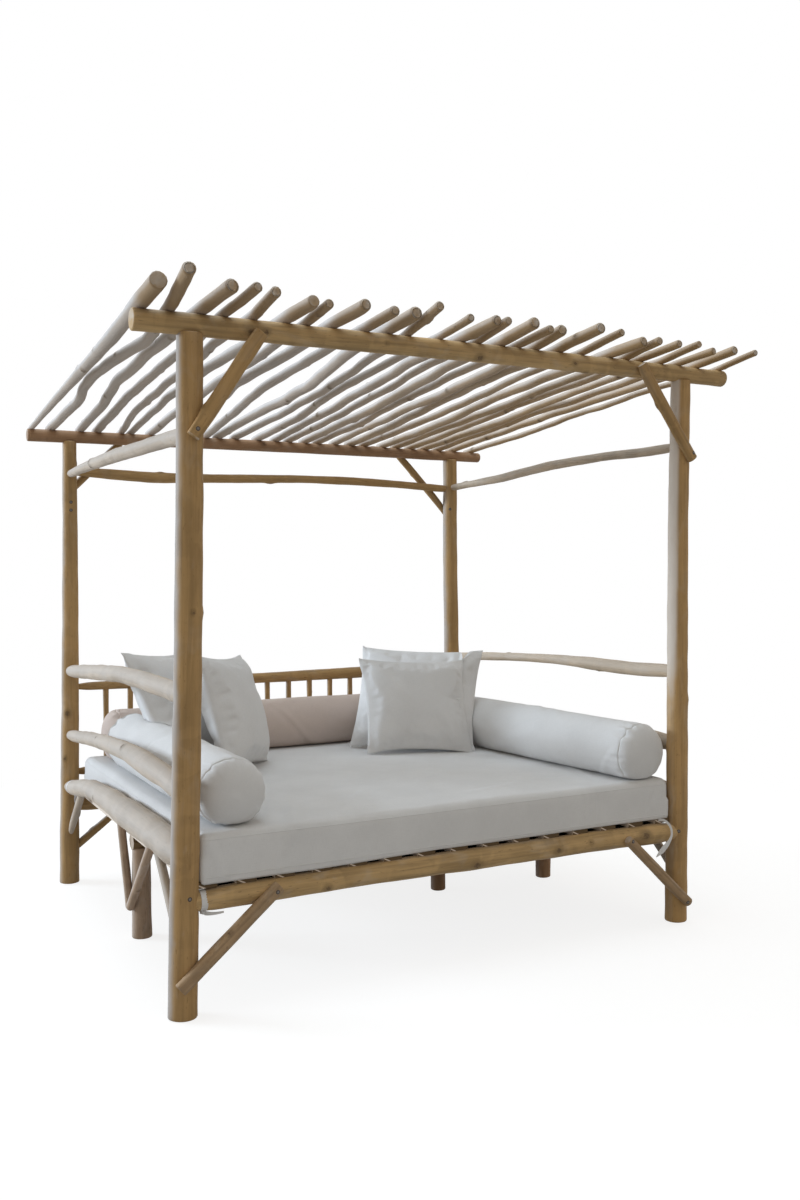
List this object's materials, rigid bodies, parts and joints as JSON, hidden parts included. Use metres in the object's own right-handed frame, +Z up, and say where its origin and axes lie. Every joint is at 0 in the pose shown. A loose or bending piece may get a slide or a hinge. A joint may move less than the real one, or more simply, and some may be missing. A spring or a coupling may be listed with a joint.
{
  "type": "outdoor daybed",
  "caption": "Daybed of round peeled poles with a roof of crooked branches, a slatted bed between the posts, a thick mattress, bolsters and loose pillows.",
  "frame": {"origin": "middle of the base of the whole object, on the ground between the posts", "axes": "+X to the right along the open front, +Y to the backrest, +Z up"},
  "size_m": [2.3886, 2.1024, 2.2536],
  "materials": {
    "wood": "peeled round poles, weathered warm tan",
    "pale_wood": "peeled round poles, weathered pale beige",
    "branch_wood": "peeled crooked branches, weathered greyish beige",
    "white_fabric": "matt off-white woven cover",
    "taupe_fabric": "matt pinkish taupe woven cover"
  },
  "bodies": {
    "root": {"front_bed_rail": "wood", "back_bed_rail": "wood", "left_bed_rail": "pale_wood", "right_bed_rail": "pale_wood", "left_upper_arm": "pale_wood", "left_lower_arm": "pale_wood", "right_upper_arm": "pale_wood", "right_lower_arm": "pale_wood", "backrest": "wood", "slat_deck": "pale_wood", "left_middle_leg": "wood", "centre_middle_leg": "wood", "right_middle_leg": "wood", "front_low_left_brace": "wood", "front_low_right_brace": "wood", "back_low_left_brace": "wood", "back_low_right_brace": "wood", "front_left_post": "wood", "front_right_post": "wood", "back_left_post": "wood", "back_right_post": "wood", "front_beam": "wood", "back_beam": "wood", "left_tie_rail": "pale_wood", "right_tie_rail": "pale_wood", "back_tie_rail": "pale_wood", "front_top_left_brace": "wood", "front_top_right_brace": "wood", "back_top_left_brace": "wood", "back_top_right_brace": "wood", "roof_branch_01": "branch_wood", "roof_branch_02": "branch_wood", "roof_branch_03": "branch_wood", "roof_branch_04": "branch_wood", "roof_branch_05": "branch_wood", "roof_branch_06": "branch_wood", "roof_branch_07": "branch_wood", "roof_branch_08": "branch_wood", "roof_branch_09": "branch_wood", "roof_branch_pair_10": "branch_wood", "roof_branch_12": "branch_wood", "roof_branch_pair_13": "branch_wood", "roof_branch_15": "branch_wood", "roof_branch_16": "branch_wood", "roof_branch_pair_17": "branch_wood", "roof_branch_19": "branch_wood", "roof_branch_pair_20": "branch_wood", "roof_branch_22": "branch_wood", "roof_branch_23": "branch_wood", "roof_branch_24": "branch_wood", "roof_branch_25": "branch_wood", "roof_branch_26": "branch_wood", "mattress": "white_fabric", "left_bolster": "white_fabric", "right_bolster": "white_fabric", "back_bolster": "taupe_fabric", "right_front_pillow": "white_fabric", "right_back_pillow": "white_fabric", "left_front_pillow": "white_fabric", "left_back_pillow": "white_fabric"}
  },
  "joints": []
}
